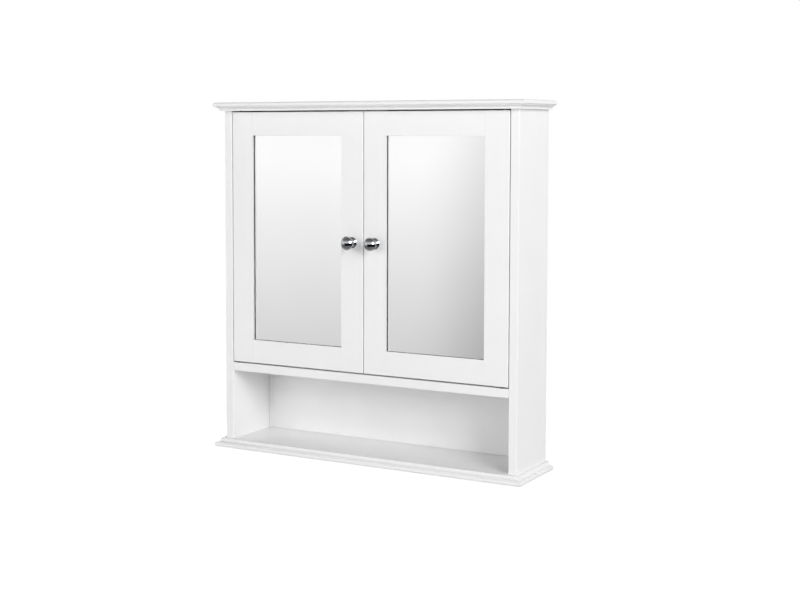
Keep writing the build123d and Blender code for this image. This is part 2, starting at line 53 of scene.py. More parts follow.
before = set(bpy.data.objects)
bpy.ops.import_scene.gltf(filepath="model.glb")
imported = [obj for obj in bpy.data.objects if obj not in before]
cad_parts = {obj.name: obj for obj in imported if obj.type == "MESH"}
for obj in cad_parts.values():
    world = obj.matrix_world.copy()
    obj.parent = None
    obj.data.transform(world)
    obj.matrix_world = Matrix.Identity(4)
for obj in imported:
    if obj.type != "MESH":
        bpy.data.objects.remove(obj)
cad_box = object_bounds()

MM = 0.001
DOORS = ("left_door", "right_door")

# How the meshes are cleaned, eased and shaded
MERGE_DISTANCE = 1e-6
FLAT_ANGLE = math.radians(0.4)
AXIS_ALIGNED = 0.9999
SHARP_ANGLE = math.radians(35)
EASED_ANGLE = math.radians(60)

# Edges shorter than these stay as they are
SHORTEST_BOARD_EDGE = 30 * MM
SHORTEST_FRAME_EDGE = 20 * MM
SHORTEST_CASE_EDGE = 4 * MM
SHORTEST_SMALL_EDGE = 3 * MM

# Small metal and plastic pieces: rounding of their edges
CASE_EASE = 0.4 * MM
PIN_EASE = 0.4 * MM
MAGNET_EASE = 0.3 * MM
PLATE_EASE = 0.2 * MM

# Clearances that the eye and the light need
SILVER_CLEARANCE = 0.06 * MM
BUSH_RUNNING_GAP = 0.05 * MM
BACK_CORNER_GAP = 0.55 * MM
BACK_CORNER_DEPTH = 2.5 * MM
BACK_CORNER_DRAFT = 0.02 * MM

# The knob's curves, as shares of the heights that they span
KNOB_SPIN_STEPS = 72
KNOB_ARC_STEPS = 12
KNOB_RIM_STEPS = 5
FLARE_SHARE = 0.18
THROAT_SHARE = 0.16
RIM_SHARE = 0.42

# The pins in the beads
BRAD_HEIGHT = 0.3 * MM
BRAD_SINK = 0.13 * MM
BRAD_TAPER = 0.8
BRAD_SIDES = 16
BRAD_FLAT = 0.5

# Most of a noise texture's values lie between these two
NOISE_LOW = 0.3
NOISE_HIGH = 0.7
NOISE_ROUGHNESS = 0.55


def linear(hex_colour):
    """An sRGB hex colour as linear red, green, blue and alpha."""
    parts = [int(hex_colour[i : i + 2], 16) / 255 for i in (1, 3, 5)]
    return (*[c / 12.92 if c <= 0.04045 else ((c + 0.055) / 1.055) ** 2.4 for c in parts], 1.0)


def short_name(body):
    """left or right, for a door's body name."""
    return body.split("_")[0]


def knob_box(body):
    """The two corners of a door's knob in the CAD model."""
    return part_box(f"{short_name(body)}_knob")


# Sizes, colours and light that a user would change
class CabinetSizes(bpy.types.PropertyGroup):
    board_ease: bpy.props.FloatProperty(
        name="Board ease",
        description="Rounding of the painted boards' edges",
        default=0.5 * MM,
        unit="LENGTH",
    )
    door_ease: bpy.props.FloatProperty(
        name="Door ease",
        description="Rounding of the stiles' and rails' edges, which draws the joint lines",
        default=0.4 * MM,
        unit="LENGTH",
    )
    bead_ease: bpy.props.FloatProperty(
        name="Bead ease",
        description="Rounding of the beads that hold the mirrors",
        default=1.1 * MM,
        unit="LENGTH",
    )
    glass_ease: bpy.props.FloatProperty(
        name="Glass arris",
        description="Ground edge of the mirror glass",
        default=0.4 * MM,
        unit="LENGTH",
    )
    foot_radius: bpy.props.FloatProperty(
        name="Knob foot radius",
        description="Radius of the knob's flared foot",
        default=9.0 * MM,
        unit="LENGTH",
    )
    foot_height: bpy.props.FloatProperty(
        name="Knob foot height",
        description="Thickness of the knob's foot at its edge",
        default=2.2 * MM,
        unit="LENGTH",
    )
    foot_bevel: bpy.props.FloatProperty(
        name="Knob foot bevel",
        description="Bevel round the knob's foot",
        default=0.6 * MM,
        unit="LENGTH",
    )
    neck_radius: bpy.props.FloatProperty(
        name="Knob neck radius",
        description="Radius of the knob's waist",
        default=5.0 * MM,
        unit="LENGTH",
    )
    neck_height: bpy.props.FloatProperty(
        name="Knob neck height",
        description="Distance of the waist from the door",
        default=8.0 * MM,
        unit="LENGTH",
    )
    head_height: bpy.props.FloatProperty(
        name="Knob head height",
        description="Distance of the head's widest line from the door",
        default=16.5 * MM,
        unit="LENGTH",
    )
    head_radius: bpy.props.FloatProperty(
        name="Knob head radius",
        description="Radius of the knob's domed head",
        default=(knob_box("left_door")[1].x - knob_box("left_door")[0].x) / 2,
        unit="LENGTH",
    )
    rim_round: bpy.props.FloatProperty(
        name="Knob rim round",
        description="Rounding of the head's rim",
        default=0.7 * MM,
        unit="LENGTH",
    )
    knob_length: bpy.props.FloatProperty(
        name="Knob length",
        description="Distance of the crown from the door",
        default=knob_box("left_door")[1].y - knob_box("left_door")[0].y,
        unit="LENGTH",
    )
    brad_radius: bpy.props.FloatProperty(
        name="Brad radius",
        description="Radius of the pins that hold the beads",
        default=0.8 * MM,
        unit="LENGTH",
    )
    brad_spacing: bpy.props.FloatProperty(
        name="Brad spacing",
        description="Distance between the pins along a bead",
        default=80.0 * MM,
        unit="LENGTH",
    )


class CabinetColours(bpy.types.PropertyGroup):
    paint: bpy.props.FloatVectorProperty(
        name="Paint",
        description="White lacquer of the boards and door frames",
        default=linear("#F3F3F3"),
        size=4,
        subtype="COLOR",
    )
    paint_shade: bpy.props.FloatVectorProperty(
        name="Paint shade",
        description="The lacquer's slightly darker drifts",
        default=linear("#F1F1F1"),
        size=4,
        subtype="COLOR",
    )
    hardboard: bpy.props.FloatVectorProperty(
        name="Hardboard",
        description="Raw hardboard behind the mirrors and the cabinet",
        default=linear("#8A6A4C"),
        size=4,
        subtype="COLOR",
    )
    hardboard_fibre: bpy.props.FloatVectorProperty(
        name="Hardboard fibre",
        description="Darker fibres in the hardboard",
        default=linear("#6B4F38"),
        size=4,
        subtype="COLOR",
    )
    chrome: bpy.props.FloatVectorProperty(
        name="Chrome",
        description="Polished chrome plate",
        default=linear("#C4C6C9"),
        size=4,
        subtype="COLOR",
    )
    silvering: bpy.props.FloatVectorProperty(
        name="Silvering",
        description="Silver coat on the back of the mirror glass",
        default=linear("#FDFDFD"),
        size=4,
        subtype="COLOR",
    )


class CabinetStudio(bpy.types.PropertyGroup):
    key_power: bpy.props.FloatProperty(
        name="Key power",
        description="Power of the soft light at the right front",
        default=103.0,
        unit="POWER",
    )
    fill_power: bpy.props.FloatProperty(
        name="Fill power",
        description="Power of the soft light at the left front",
        default=41.0,
        unit="POWER",
    )
    back_power: bpy.props.FloatProperty(
        name="Back power",
        description="Power of the soft light at the right rear",
        default=45.0,
        unit="POWER",
    )
    rear_power: bpy.props.FloatProperty(
        name="Rear power",
        description="Power of the soft light at the left rear",
        default=48.0,
        unit="POWER",
    )
    ambient: bpy.props.FloatProperty(
        name="Ambient",
        description="Strength of the even light from all round",
        default=0.14,
    )
    floor_drop: bpy.props.FloatProperty(
        name="Floor drop",
        description="Height of the hanging cabinet over the floor",
        default=0.75,
        unit="LENGTH",
    )
    floor_radius: bpy.props.FloatProperty(
        name="Floor radius",
        description="Radius of the studio floor",
        default=4.0,
        unit="LENGTH",
    )
    lens: bpy.props.FloatProperty(
        name="Lens",
        description="Focal length of the camera in millimetres",
        default=64.27,
    )


# Materials
def new_material(name):
    """An empty node material and its tree."""
    material = bpy.data.materials.new(name)
    material.use_nodes = True
    material.node_tree.nodes.clear()
    return material, material.node_tree


def add_node(tree, kind, settings=None, values=None, links=None):
    """Adds one node: its settings, its sockets' values and the sockets that feed it."""
    node = tree.nodes.new(kind)
    for key, value in (settings or {}).items():
        setattr(node, key, value)
    for key, value in (values or {}).items():
        node.inputs[key].default_value = value
    for key, source in (links or {}).items():
        tree.links.new(source, node.inputs[key])
    return node


def close_material(material, tree, shader):
    """Leads the shader to the material's output."""
    add_node(tree, "ShaderNodeOutputMaterial", links={"Surface": shader.outputs[0]})
    return material


def noise_at(tree, size, detail=2.0, stretch=(1.0, 1.0, 1.0)):
    """Noise whose grains are about size metres across, in the piece's own coordinates."""
    place = add_node(tree, "ShaderNodeTexCoord")
    turned = add_node(
        tree,
        "ShaderNodeMapping",
        values={"Scale": tuple(s / size for s in stretch)},
        links={"Vector": place.outputs["Object"]},
    )
    return add_node(
        tree,
        "ShaderNodeTexNoise",
        values={"Scale": 1.0, "Detail": detail, "Roughness": NOISE_ROUGHNESS},
        links={"Vector": turned.outputs["Vector"]},
    )


def ranged(tree, noise, low, high):
    """The noise spread over low to high."""
    node = add_node(
        tree,
        "ShaderNodeMapRange",
        values={"From Min": NOISE_LOW, "From Max": NOISE_HIGH, "To Min": low, "To Max": high},
        links={"Value": noise.outputs["Fac"]},
    )
    return node.outputs["Result"]


def mixed_colour(tree, noise, first, second):
    """A colour that drifts with the noise from first to second."""
    node = add_node(
        tree,
        "ShaderNodeMix",
        settings={"data_type": "RGBA"},
        values={6: first, 7: second},
        links={0: ranged(tree, noise, 0.0, 1.0)},
    )
    return node.outputs[2]


def bumped(tree, noise, depth, strength):
    """A normal that follows the noise, with hills of about depth."""
    node = add_node(
        tree,
        "ShaderNodeBump",
        values={"Strength": strength, "Distance": depth},
        links={"Height": noise.outputs["Fac"]},
    )
    return node.outputs["Normal"]


def surface(name, grain, tones, roughness=None, bump=None, drift=None, values=None):
    """A finish: the drift, or else the grain, mixes two tones, and the grain gives roughness and bump.

    grain and drift are settings of noise_at, roughness is a range, and bump is a depth and a strength.
    """
    material, tree = new_material(name)
    fine = noise_at(tree, **grain)
    broad = noise_at(tree, **drift) if drift else fine
    links = {"Base Color": mixed_colour(tree, broad, *tones)}
    if roughness:
        links["Roughness"] = ranged(tree, fine, *roughness)
    if bump:
        links["Normal"] = bumped(tree, fine, *bump)
    shader = add_node(tree, "ShaderNodeBsdfPrincipled", values=values, links=links)
    return close_material(material, tree, shader)


def satin_lacquer():
    # Sprayed satin lacquer on MDF: even white, a soft sheen and a trace of orange peel. Real peel is
    # about 1 mm across, too fine to show, so it is drawn at 5 mm and kept very shallow.
    colours = bpy.context.scene.cabinet_colours
    return surface(
        "satin_white_lacquer",
        grain={"size": 5 * MM, "detail": 1.0},
        drift={"size": 90 * MM, "detail": 3.0},
        tones=(tuple(colours.paint), tuple(colours.paint_shade)),
        roughness=(0.34, 0.42),
        bump=(0.02 * MM, 0.5),
        values={"IOR": 1.5},
    )


def rolled_white_board():
    # Thin fibreboard with a rolled-on white foil: duller than the lacquer, with a faint pebble of 2 mm.
    return surface(
        "rolled_white_fibreboard",
        grain={"size": 2 * MM},
        drift={"size": 60 * MM, "detail": 3.0},
        tones=(linear("#F4F4F4"), linear("#F1F1F1")),
        roughness=(0.5, 0.6),
        bump=(0.03 * MM, 0.4),
        values={"IOR": 1.5},
    )


def raw_hardboard():
    # Wet-pressed hardboard: brown felted fibres about 3 mm long in darker clouds, without gloss.
    colours = bpy.context.scene.cabinet_colours
    material, tree = new_material("raw_hardboard")
    fibre = noise_at(tree, 3 * MM, detail=6.0, stretch=(1.0, 1.0, 0.4))
    cloud = noise_at(tree, 45 * MM, detail=3.0)
    fibres = mixed_colour(tree, fibre, tuple(colours.hardboard), tuple(colours.hardboard_fibre))
    clouded = add_node(
        tree,
        "ShaderNodeMix",
        settings={"data_type": "RGBA", "blend_type": "MULTIPLY"},
        values={7: linear("#E4DACD")},
        links={0: ranged(tree, cloud, 0.0, 1.0), 6: fibres},
    )
    shader = add_node(
        tree,
        "ShaderNodeBsdfPrincipled",
        values={"IOR": 1.45},
        links={
            "Base Color": clouded.outputs[2],
            "Roughness": ranged(tree, fibre, 0.7, 0.85),
            "Normal": bumped(tree, fibre, 0.08 * MM, 0.6),
        },
    )
    return close_material(material, tree, shader)


def planed_beech():
    # Turned beech dowels: pale, with short darker flecks along the grain, 1 mm by 6 mm.
    return surface(
        "planed_beech",
        grain={"size": 1 * MM, "detail": 3.0, "stretch": (0.16, 1.0, 1.0)},
        tones=(linear("#D9B98C"), linear("#BE976A")),
        roughness=(0.5, 0.65),
        bump=(0.05 * MM, 0.5),
        values={"IOR": 1.45},
    )


def float_glass():
    # Clear float glass, polished: the faint double image and the dark line at the frame come from its
    # thickness. A trace of grey-green in its body is all the colour it has.
    return surface(
        "polished_float_glass",
        grain={"size": 160 * MM, "detail": 0.0},
        tones=(linear("#FFFFFF"), linear("#FDFEFD")),
        values={"IOR": 1.52, "Roughness": 0.0, "Transmission Weight": 1.0},
    )


def mirror_silver():
    # Chemically deposited silver behind the glass: almost colourless and a perfect mirror.
    return surface(
        "mirror_silver",
        grain={"size": 120 * MM, "detail": 1.0},
        tones=(tuple(bpy.context.scene.cabinet_colours.silvering), linear("#FBFBFB")),
        values={"Metallic": 1.0, "Roughness": 0.0},
    )


def chrome_plate():
    # Bright nickel and chrome plate over a turned brass knob: mirror bright, with hairlines of 0.4 mm.
    return surface(
        "polished_chrome_plate",
        grain={"size": 0.4 * MM, "detail": 1.0},
        tones=(tuple(bpy.context.scene.cabinet_colours.chrome), linear("#BCBEC2")),
        roughness=(0.03, 0.07),
        values={"Metallic": 1.0},
    )


def zinc_plate():
    # Bright zinc plate on steel screws and cams: blue-grey, satin, mottled at 2 mm.
    return surface(
        "bright_zinc_plate",
        grain={"size": 2 * MM, "detail": 3.0},
        tones=(linear("#C3C6CA"), linear("#A9ACB0")),
        roughness=(0.26, 0.4),
        bump=(0.01 * MM, 0.4),
        values={"Metallic": 1.0},
    )


def moulded_nylon():
    # Injection-moulded dark grey nylon: a fine 1 mm sparkle-eroded texture.
    return surface(
        "moulded_grey_nylon",
        grain={"size": 1 * MM},
        tones=(linear("#55575A"), linear("#4A4C4F")),
        roughness=(0.45, 0.55),
        bump=(0.03 * MM, 0.5),
        values={"IOR": 1.53},
    )


def moulded_white_plastic():
    # Injection-moulded white ABS: smooth, half gloss, slightly warmer than the paint.
    return surface(
        "moulded_white_abs",
        grain={"size": 1.5 * MM},
        tones=(linear("#EFEEEA"), linear("#E8E7E2")),
        roughness=(0.26, 0.34),
        bump=(0.02 * MM, 0.4),
        values={"IOR": 1.54},
    )


def sintered_ferrite():
    # Sintered ferrite magnets: charcoal, matt, with 0.5 mm grains and chips.
    return surface(
        "sintered_ferrite",
        grain={"size": 0.5 * MM, "detail": 3.0},
        tones=(linear("#3A3B3D"), linear("#2B2C2E")),
        roughness=(0.55, 0.75),
        bump=(0.05 * MM, 0.6),
        values={"IOR": 1.6},
    )


def studio_floor():
    # Pale studio floor: white to the camera, with a painted reflection that is pale grey in the mirrors
    # and dark in metal. A share of it stays matt, so that it keeps the cabinet's shadow.
    material, tree = new_material("pale_studio_floor")
    path = add_node(tree, "ShaderNodeLightPath")
    seen = seen_directly_or_mirrored(tree)
    grain = noise_at(tree, 40 * MM, detail=2.0)
    matt = add_node(
        tree,
        "ShaderNodeBsdfDiffuse",
        links={"Color": mixed_colour(tree, grain, linear("#E9E9E8"), linear("#E4E4E3"))},
    )
    # Painted reflection: the floor's glow as the mirrors and metal see it
    mirrored = add_node(
        tree,
        "ShaderNodeMapRange",
        values={"To Min": METAL_FLOOR_GLOW, "To Max": MIRRORED_FLOOR_GLOW},
        links={"Value": path.outputs["Is Transmission Ray"]},
    )
    glow = add_node(
        tree,
        "ShaderNodeMapRange",
        values={"To Max": SEEN_FLOOR_GLOW},
        links={"Value": path.outputs["Is Camera Ray"], "To Min": mirrored.outputs["Result"]},
    )
    light = add_node(
        tree,
        "ShaderNodeEmission",
        values={"Color": linear("#FFFFFF")},
        links={"Strength": glow.outputs["Result"]},
    )
    lifted = add_node(
        tree,
        "ShaderNodeMixShader",
        values={0: FLOOR_GLOW_SHARE},
        links={1: matt.outputs[0], 2: light.outputs[0]},
    )
    shader = add_node(
        tree,
        "ShaderNodeMixShader",
        links={0: seen, 1: matt.outputs[0], 2: lifted.outputs[0]},
    )
    return close_material(material, tree, shader)


def paint_dark_reflection():
    # Painted dark reflection: a black card behind the camera that only the chrome shows, as the dark
    # band round a knob; it gives no light or shadow. The glass, which is perfectly sharp, looks through
    # it.
    material, tree = new_material("painted_dark_reflection")
    path = add_node(tree, "ShaderNodeLightPath")
    card_grain = noise_at(tree, 30 * MM, detail=2.0)
    dark_card = add_node(
        tree,
        "ShaderNodeBsdfDiffuse",
        links={"Color": mixed_colour(tree, card_grain, linear("#2A2A2B"), linear("#202021"))},
    )
    clear = add_node(tree, "ShaderNodeBsdfTransparent")
    shader = add_node(
        tree,
        "ShaderNodeMixShader",
        links={0: path.outputs["Is Singular Ray"], 1: dark_card.outputs[0], 2: clear.outputs[0]},
    )
    return close_material(material, tree, shader)


def seen_directly_or_mirrored(tree):
    """1 for what the camera sees, itself or in metal and glass, and 0 for what only gives light."""
    path = add_node(tree, "ShaderNodeLightPath")
    mirrored = add_node(
        tree,
        "ShaderNodeMath",
        settings={"operation": "MAXIMUM"},
        links={0: path.outputs["Is Glossy Ray"], 1: path.outputs["Is Transmission Ray"]},
    )
    both = add_node(
        tree,
        "ShaderNodeMath",
        settings={"operation": "MAXIMUM"},
        links={0: path.outputs["Is Camera Ray"], 1: mirrored.outputs[0]},
    )
    return both.outputs[0]


# Shapes
def finish_piece(mesh_data, name, body, materials, replaced):
    """Turns a bmesh into a piece that rides on its body and stands for its CAD nodes."""
    mesh = bpy.data.meshes.new(name)
    mesh_data.to_mesh(mesh)
    mesh_data.free()
    for material in materials:
        mesh.materials.append(material)
    piece = bpy.data.objects.new(name, mesh)
    bpy.context.scene.collection.objects.link(piece)
    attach(piece, body)
    if replaced:
        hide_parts(*replaced)
    return piece


def merged_copy(node):
    """A CAD node's mesh with its corners joined and its flat faces made whole."""
    shape = bmesh.new()
    shape.from_mesh(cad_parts[node].data)
    bmesh.ops.remove_doubles(shape, verts=shape.verts, dist=MERGE_DISTANCE)
    bmesh.ops.dissolve_limit(
        shape,
        angle_limit=FLAT_ANGLE,
        verts=shape.verts,
        edges=shape.edges,
        use_dissolve_boundaries=False,
    )
    return shape


def ease_long_edges(shape, ease, shortest):
    """Rounds the sharp edges longer than shortest, as sanding before the paint does."""
    edges = [
        e
        for e in shape.edges
        if e.is_manifold and e.calc_length() > shortest and e.calc_face_angle(0) > EASED_ANGLE
    ]
    bmesh.ops.bevel(
        shape,
        geom=edges,
        offset=ease,
        offset_type="OFFSET",
        segments=3,
        profile=0.5,
        affect="EDGES",
        clamp_overlap=True,
        material=-1,
    )


def shade_by_form(shape):
    """Flat faces stay flat, rounds are smooth, and sharp corners stay sharp."""
    shape.normal_update()
    for face in shape.faces:
        face.smooth = max(abs(c) for c in face.normal) < AXIS_ALIGNED
    for edge in shape.edges:
        edge.smooth = not edge.is_manifold or edge.calc_face_angle(0) < SHARP_ANGLE


def refined_piece(node, body, material, ease=0.0, shortest=0.0, suffix="eased"):
    """The CAD node's own shape with smooth rounds, and its edges over shortest rounded by ease."""
    shape = merged_copy(node)
    if ease > 0:
        ease_long_edges(shape, ease, shortest)
    shade_by_form(shape)
    return finish_piece(shape, f"{node}_{suffix}", body, [material], [node])


def eased_block(shape, low, high, ease):
    """Adds a block with eased edges to the shape."""
    centre = (low + high) / 2
    size = high - low
    place = Matrix.Translation(centre) @ Matrix.Diagonal((*size, 1.0))
    made = bmesh.ops.create_cube(shape, size=1.0, matrix=place)
    edges = list({e for v in made["verts"] for e in v.link_edges})
    bmesh.ops.bevel(
        shape,
        geom=edges,
        offset=ease,
        offset_type="OFFSET",
        segments=2,
        profile=0.5,
        affect="EDGES",
        material=-1,
    )


def arc_points(start, end, sagitta, steps):
    """Points after start on the circular arc to end that bulges to the left by sagitta."""
    start = Vector(start)
    end = Vector(end)
    chord = end - start
    half = chord.length / 2
    side = Vector((-chord.y, chord.x)).normalized()
    radius = (half**2 + sagitta**2) / (2 * sagitta)
    centre = (start + end) / 2 + side * (sagitta - radius)
    first = start - centre
    turn = -2 * math.asin(max(-1.0, min(1.0, half / radius)))
    points = []
    for i in range(1, steps + 1):
        points.append(centre + Matrix.Rotation(turn * i / steps, 2) @ first)
    return points


def knob_outline():
    """Radius and height of the knob's outline, from the door to the crown."""
    sizes = bpy.context.scene.cabinet_sizes
    foot = (sizes.foot_radius, 0.0)
    foot_edge = (sizes.foot_radius, sizes.foot_height - sizes.foot_bevel)
    foot_top = (sizes.foot_radius - sizes.foot_bevel, sizes.foot_height)
    neck = (sizes.neck_radius, sizes.neck_height)
    under_rim = (sizes.head_radius - sizes.rim_round, sizes.head_height - sizes.rim_round / 2)
    over_rim = (sizes.head_radius - sizes.rim_round / 4, sizes.head_height + sizes.rim_round)
    crown = (0.0, sizes.knob_length)
    flare_depth = FLARE_SHARE * (sizes.neck_height - sizes.foot_height)
    throat_depth = THROAT_SHARE * (sizes.head_height - sizes.neck_height)
    dome_rise = crown[1] - over_rim[1]
    dome_radius = (over_rim[0] ** 2 + dome_rise**2) / (2 * dome_rise)
    dome_depth = dome_radius - math.sqrt(dome_radius**2 - (over_rim[0] ** 2 + dome_rise**2) / 4)
    outline = [Vector((0.0, 0.0)), Vector(foot), Vector(foot_edge), Vector(foot_top)]
    outline += arc_points(foot_top, neck, flare_depth, KNOB_ARC_STEPS)
    outline += arc_points(neck, under_rim, throat_depth, KNOB_ARC_STEPS)
    outline += arc_points(under_rim, over_rim, -RIM_SHARE * sizes.rim_round, KNOB_RIM_STEPS)
    outline += arc_points(over_rim, crown, -dome_depth, KNOB_ARC_STEPS)
    return outline


def turned_knob(body):
    """The knob's outline turned about its own axis and set on its door."""
    low, high = knob_box(body)
    foot_centre = Vector(((low.x + high.x) / 2, high.y, (low.z + high.z) / 2))
    shape = bmesh.new()
    verts = [shape.verts.new((p.x, -p.y, 0.0)) for p in knob_outline()]
    edges = [shape.edges.new(pair) for pair in zip(verts, verts[1:])]
    bmesh.ops.spin(
        shape,
        geom=verts + edges,
        cent=(0, 0, 0),
        axis=(0, 1, 0),
        angle=2 * math.pi,
        steps=KNOB_SPIN_STEPS,
        use_merge=True,
    )
    bmesh.ops.remove_doubles(shape, verts=shape.verts, dist=MERGE_DISTANCE)
    bmesh.ops.translate(shape, verts=shape.verts, vec=foot_centre)
    bmesh.ops.recalc_face_normals(shape, faces=shape.faces)
    for face in shape.faces:
        face.smooth = True
    for edge in shape.edges:
        edge.smooth = not edge.is_manifold or edge.calc_face_angle(0) < SHARP_ANGLE
    return shape


def mirror_plate(body):
    """A glass plate with ground edges, whose back face carries the silver."""
    low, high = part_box(f"{short_name(body)}_mirror")
    high.y -= SILVER_CLEARANCE
    shape = bmesh.new()
    eased_block(shape, low, high, bpy.context.scene.cabinet_sizes.glass_ease)
    shape.normal_update()
    for face in shape.faces:
        face.material_index = 1 if face.normal.y > AXIS_ALIGNED else 0
    return shape


def corner_groove(shape, left, right):
    """Leaves an upright slit in the panel's front face between two places across its width."""
    for x in (left, right):
        bmesh.ops.bisect_plane(
            shape,
            geom=shape.verts[:] + shape.edges[:] + shape.faces[:],
            dist=MERGE_DISTANCE,
            plane_co=(x, 0, 0),
            plane_no=(1, 0, 0),
        )
    shape.normal_update()
    front = [f for f in shape.faces if f.normal.y < -AXIS_ALIGNED]
    bmesh.ops.inset_region(
        shape,
        faces=[f for f in front if left < f.calc_center_median().x < right],
        thickness=BACK_CORNER_DRAFT,
        depth=-BACK_CORNER_DEPTH,
        use_boundary=True,
    )


def lower_bearing_face(shape):
    """Lowers the topmost face by the running gap, so that what turns on it stays clear."""
    top = max(v.co.z for v in shape.verts)
    for vert in shape.verts:
        if top - vert.co.z < BUSH_RUNNING_GAP:
            vert.co.z -= BUSH_RUNNING_GAP


def brad_row(shape, start, end, outward):
    """Pin heads set into a bead from start to end."""
    sizes = bpy.context.scene.cabinet_sizes
    length = (end - start).length
    count = max(2, round(length / sizes.brad_spacing))
    turn = Vector((0, 0, 1)).rotation_difference(outward).to_matrix().to_4x4()
    for i in range(count):
        place = start.lerp(end, (i + 0.5) / count)
        made = bmesh.ops.create_cone(
            shape,
            cap_ends=True,
            segments=BRAD_SIDES,
            radius1=sizes.brad_radius,
            radius2=sizes.brad_radius * BRAD_TAPER,
            depth=BRAD_HEIGHT,
            matrix=Matrix.Translation(place) @ turn,
        )
        for face in {f for v in made["verts"] for f in v.link_faces}:
            face.smooth = abs(face.normal.y) < BRAD_FLAT


# Pieces
class BuildBoards(bpy.types.Operator):
    """Moulded top and bottom boards, side panels, shelves and hanging rail"""

    bl_idname = "cabinet.build_boards"
    bl_label = "Boards"

    def execute(self, context):
        paint = satin_lacquer()
        ease = context.scene.cabinet_sizes.board_ease
        for node in ("top_board", "bottom_board"):
            refined_piece(node, "cabinet", paint, suffix="moulded")
        for node in (
            "left_side_panel",
            "right_side_panel",
            "fixed_shelf",
            "adjustable_shelf",
            "hanging_rail",
        ):
            refined_piece(node, "cabinet", paint, ease, SHORTEST_BOARD_EDGE)
        return {"FINISHED"}


class BuildBackPanel(bpy.types.Operator):
    """Back panel, white inside the cabinet and raw hardboard behind"""

    bl_idname = "cabinet.build_back_panel"
    bl_label = "Back panel"

    def execute(self, context):
        shape = merged_copy("back_panel")
        left_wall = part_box("left_side_panel")[1].x
        right_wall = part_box("right_side_panel")[0].x
        corner_groove(shape, left_wall, left_wall + BACK_CORNER_GAP)
        corner_groove(shape, right_wall - BACK_CORNER_GAP, right_wall)
        for face in shape.faces:
            face.material_index = 1 if face.normal.y > AXIS_ALIGNED else 0
        shade_by_form(shape)
        materials = [rolled_white_board(), raw_hardboard()]
        finish_piece(shape, "back_panel_faced", "cabinet", materials, ["back_panel"])
        return {"FINISHED"}


class BuildDoorFrames(bpy.types.Operator):
    """Stiles and rails of both doors, with eased edges that draw the joint lines"""

    bl_idname = "cabinet.build_door_frames"
    bl_label = "Door frames"

    def execute(self, context):
        paint = bpy.data.materials["satin_white_lacquer"]
        ease = context.scene.cabinet_sizes.door_ease
        for body in DOORS:
            for part in ("outer_stile", "inner_stile", "top_rail", "bottom_rail"):
                node = f"{short_name(body)}_{part}"
                refined_piece(node, body, paint, ease, SHORTEST_FRAME_EDGE)
        return {"FINISHED"}


class BuildMirrors(bpy.types.Operator):
    """Silvered glass plates and the hardboard behind them"""

    bl_idname = "cabinet.build_mirrors"
    bl_label = "Mirrors"

    def execute(self, context):
        glass = float_glass()
        silver = mirror_silver()
        board = bpy.data.materials["raw_hardboard"]
        for body in DOORS:
            side = short_name(body)
            finish_piece(
                mirror_plate(body),
                f"{side}_mirror_plate",
                body,
                [glass, silver],
                [f"{side}_mirror"],
            )
            refined_piece(f"{side}_backing_panel", body, board)
        return {"FINISHED"}


class BuildBeads(bpy.types.Operator):
    """Rounded beads that hold the mirrors in their rebates, with their pins"""

    bl_idname = "cabinet.build_beads"
    bl_label = "Retaining beads"

    def execute(self, context):
        paint = bpy.data.materials["satin_white_lacquer"]
        steel = zinc_plate()
        ease = context.scene.cabinet_sizes.bead_ease
        for body in DOORS:
            side = short_name(body)
            node = f"{side}_retaining_beads"
            low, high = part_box(node)
            glass_low, glass_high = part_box(f"{side}_mirror")
            refined_piece(node, body, paint, ease, SHORTEST_FRAME_EDGE)
            inset = (high.y - low.y) / 2 + (glass_low.x - low.x)
            y = high.y - BRAD_SINK
            corners = [
                Vector((x, y, z))
                for x, z in (
                    (low.x + inset, low.z + inset),
                    (high.x - inset, low.z + inset),
                    (high.x - inset, high.z - inset),
                    (low.x + inset, high.z - inset),
                )
            ]
            shape = bmesh.new()
            for start, end in zip(corners, corners[1:] + corners[:1]):
                brad_row(shape, start, end, Vector((0, 1, 0)))
            finish_piece(shape, f"{side}_bead_pins", body, [steel], [])
        return {"FINISHED"}


class BuildKnobs(bpy.types.Operator):
    """Turned chrome knobs and the screws that hold them"""

    bl_idname = "cabinet.build_knobs"
    bl_label = "Knobs"

    def execute(self, context):
        chrome = chrome_plate()
        steel = bpy.data.materials["bright_zinc_plate"]
        for body in DOORS:
            side = short_name(body)
            finish_piece(
                turned_knob(body),
                f"{side}_turned_knob",
                body,
                [chrome],
                [f"{side}_knob"],
            )
            refined_piece(f"{side}_knob_screw", body, steel)
        return {"FINISHED"}


class BuildFixings(bpy.types.Operator):
    """Dowels, cams, bolts, screws, nails and shelf pins"""

    bl_idname = "cabinet.build_fixings"
    bl_label = "Fixings"

    def execute(self, context):
        beech = planed_beech()
        steel = bpy.data.materials["bright_zinc_plate"]
        refined_piece("carcass_dowels", "cabinet", beech)
        for node in ("cam_locks", "cam_bolts", "base_screws", "back_nails"):
            refined_piece(node, "cabinet", steel)
        refined_piece("shelf_pins", "cabinet", steel, PIN_EASE, SHORTEST_SMALL_EDGE)
        for body in DOORS:
            refined_piece(f"{short_name(body)}_frame_dowels", body, beech)
        return {"FINISHED"}


class BuildPivots(bpy.types.Operator):
    """Steel pins in the doors and nylon bushes in the boards"""

    bl_idname = "cabinet.build_pivots"
    bl_label = "Pivots"

    def execute(self, context):
        steel = bpy.data.materials["bright_zinc_plate"]
        nylon = moulded_nylon()
        refined_piece("top_pivot_bushes", "cabinet", nylon)
        shape = merged_copy("bottom_pivot_bushes")
        lower_bearing_face(shape)
        shade_by_form(shape)
        finish_piece(
            shape,
            "bottom_pivot_bushes_seated",
            "cabinet",
            [nylon],
            ["bottom_pivot_bushes"],
        )
        for body in DOORS:
            refined_piece(f"{short_name(body)}_pivot_pins", body, steel)
        return {"FINISHED"}


